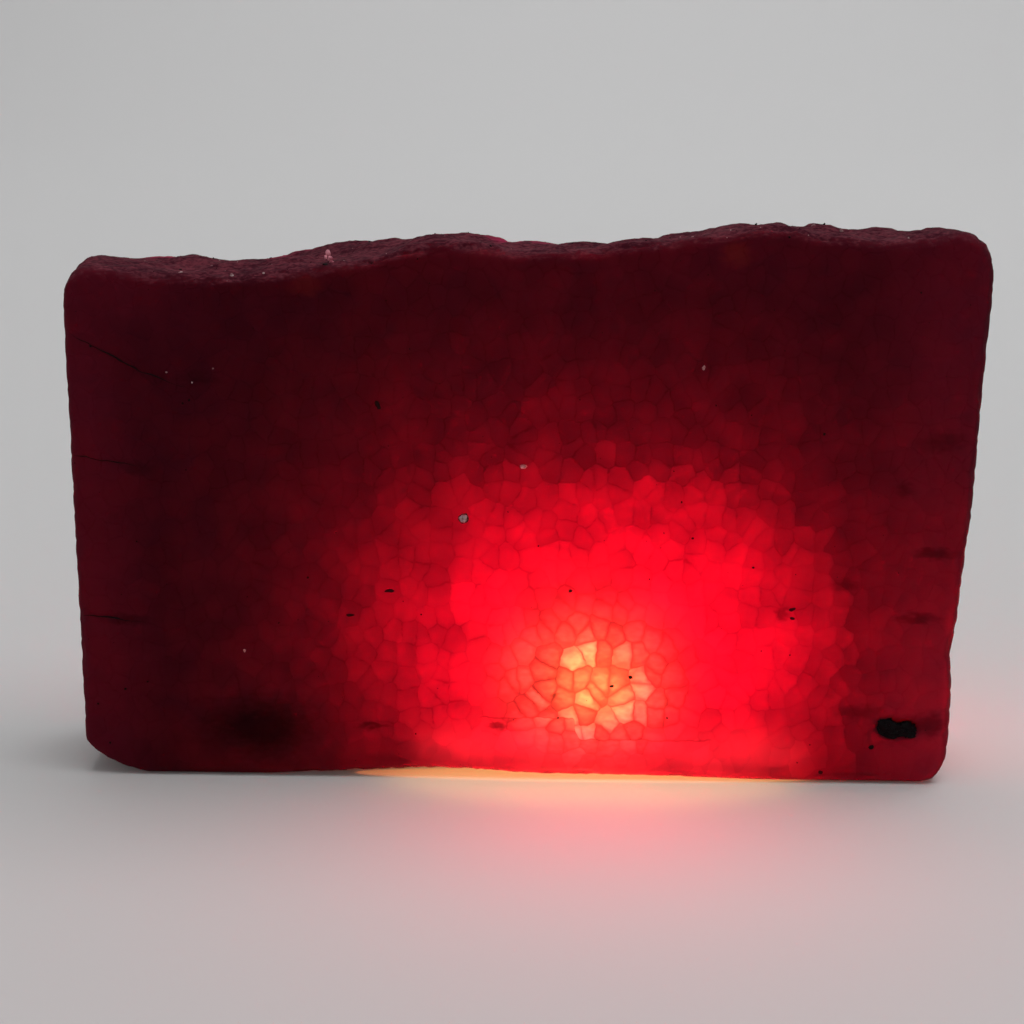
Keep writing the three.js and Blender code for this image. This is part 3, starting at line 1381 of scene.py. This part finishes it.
@dataclass
class Studio:
    """Floor, backdrop, soft light and the small torch behind the stone."""

    stone: bpy.types.Object
    paper: PaperFinish = PaperFinish()
    width: float = 1.6
    bend_start: float = 0.45
    bend_radius: float = 0.25
    bend_steps: int = 12
    backdrop_top: float = 1.2
    room_colour: Colour = (1.0, 0.99, 0.98, 1.0)
    room_strength: float = 0.22

    def floor(self) -> bpy.types.Object:
        """Lays a floor that curves up into a backdrop.

        Returns:
            The floor.
        """
        mesh = bpy.data.meshes.new("paper_sweep")
        half = self.width / 2
        profile = [(-half, 0.0), (self.bend_start, 0.0)]
        for i in range(1, self.bend_steps + 1):
            turn = math.pi / 2 * i / self.bend_steps
            out = self.bend_start + self.bend_radius * math.sin(turn)
            profile.append((out, self.bend_radius * (1 - math.cos(turn))))
        profile.append((self.bend_start + self.bend_radius, self.backdrop_top))
        verts = [(x, y, z) for y, z in profile for x in (-half, half)]
        faces = [(2 * i, 2 * i + 1, 2 * i + 3, 2 * i + 2) for i in range(len(profile) - 1)]
        mesh.from_pydata(verts, [], faces)
        mesh.shade_smooth()
        mesh.materials.append(self.paper.build())
        sweep = bpy.data.objects.new("paper_sweep", mesh)
        bpy.context.scene.collection.objects.link(sweep)
        return sweep

    def room(self) -> None:
        """Lights the room dimly and evenly."""
        world = bpy.data.worlds.new("dim_room")
        world.use_nodes = True
        background = world.node_tree.nodes["Background"]
        background.inputs["Color"].default_value = self.room_colour
        background.inputs["Strength"].default_value = self.room_strength
        bpy.context.scene.world = world

    def torch(self) -> None:
        """Adds the torch and its beam, which light only the stone and aren't seen themselves."""
        only = bpy.data.collections.new("lit_by_torch")
        only.objects.link(self.stone)
        for plan in TORCH_LAMPS:
            lamp = plan.build()
            lamp.visible_camera = False
            lamp.visible_glossy = False
            lamp.visible_diffuse = False
            lamp.light_linking.receiver_collection = only

    def spills(self, sweep: bpy.types.Object) -> None:
        """Adds the light that falls on the paper only, and that the stone doesn't block.

        Args:
            sweep: The floor.
        """
        only = bpy.data.collections.new("lit_by_spill")
        only.objects.link(sweep)
        for plan in SPILL_LAMPS:
            lamp = plan.build()
            lamp.visible_camera = False
            lamp.light_linking.receiver_collection = only
            lamp.light_linking.blocker_collection = only

    def build(self) -> bpy.types.Object:
        """Builds the whole studio.

        Returns:
            The floor.
        """
        sweep = self.floor()
        self.room()
        OVERHEAD.build()
        self.torch()
        self.spills(sweep)
        return sweep


@dataclass
class ViewCamera:
    """The main view: in front of the stone, a little to its right, looking slightly down."""

    target: Triple = (-1.0 * MM, 0.0, 19.1 * MM)
    distance: float = 160 * MM
    azimuth: float = math.radians(2)
    elevation: float = math.radians(15)
    lens: float = 76.4
    sensor: float = 36.0
    nearest: float = 10 * MM

    def build(self) -> bpy.types.Object:
        """Adds the camera and makes it the scene's own.

        Returns:
            The camera.
        """
        back = Vector((
            math.sin(self.azimuth) * math.cos(self.elevation),
            -math.cos(self.azimuth) * math.cos(self.elevation),
            math.sin(self.elevation),
        ))
        data = bpy.data.cameras.new("view_camera")
        data.lens = self.lens
        data.sensor_width = self.sensor
        data.clip_start = self.nearest
        camera = bpy.data.objects.new("view_camera", data)
        camera.location = Vector(self.target) + back * self.distance
        camera.rotation_euler = (-back).to_track_quat("-Z", "Y").to_euler()
        bpy.context.scene.collection.objects.link(camera)
        bpy.context.scene.camera = camera
        return camera


SET_GRAINS = (
    SetGrains("pocket_mineral", BLACK_MINERAL, Slot.MINERAL, POCKET_GRAIN, subdivisions=5),
    SetGrains("dark_grains", BLACK_MINERAL, Slot.MINERAL, DARK_SPOTS),
    SetGrains("pale_flecks", PALE_DUST, Slot.DUST, PALE_SPOTS, unevenness=0.8),
    SetGrains("pink_chip", PINK_CHIP, Slot.DUST, CHIP_SPOTS, unevenness=0.5),
)
DARK_THREADS = Hairlines("dark_hairlines", BLACK_MINERAL, Slot.MINERAL, HAIRLINES)
SCATTERED_GRAINS = (
    ScatteredGrains(
        "black_specks", BLACK_MINERAL, Slot.MINERAL, Side.FRONT, 0.05, 0.07, 0.22, (1.0, 0.5, 0.8), 5,
    ),
    ScatteredGrains(
        "back_specks", BLACK_MINERAL, Slot.MINERAL, Side.BACK, 0.05, 0.07, 0.3, (1.0, 0.5, 0.8), 11,
    ),
    ScatteredGrains(
        "top_crumbs", PALE_DUST, Slot.DUST, Side.TOP, 0.09, 0.06, 0.24, (1.0, 0.8, 0.8), 21,
    ),
    ScatteredGrains(
        "top_grains", BLACK_MINERAL, Slot.MINERAL, Side.TOP, 0.12, 0.08, 0.32, (1.0, 0.8, 0.5), 31,
    ),
)


def report(piece: bpy.types.Object) -> None:
    """Logs a finished piece.

    Args:
        piece: The piece.
    """
    LOG.info("%s: %d faces", piece.name, len(piece.data.polygons))


def main() -> None:
    """Builds the stone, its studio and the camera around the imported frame."""
    logging.basicConfig(level=logging.INFO, format="%(name)s: %(message)s")
    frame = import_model()
    ViewCamera().build()
    field = GrainField()
    stone = SlabSkin(field, RubyFinish(field)).build(frame["nodes"][CAD_NODE])
    report(stone)
    for grains in SET_GRAINS:
        report(grains.build())
    report(DARK_THREADS.build())
    for grains in SCATTERED_GRAINS:
        report(grains.build(stone))
    report(Studio(stone).build())
    scene = bpy.context.scene
    scene.view_settings.view_transform = "Standard"
    scene.cycles.use_light_tree = False


if __name__ == "__main__":
    main()
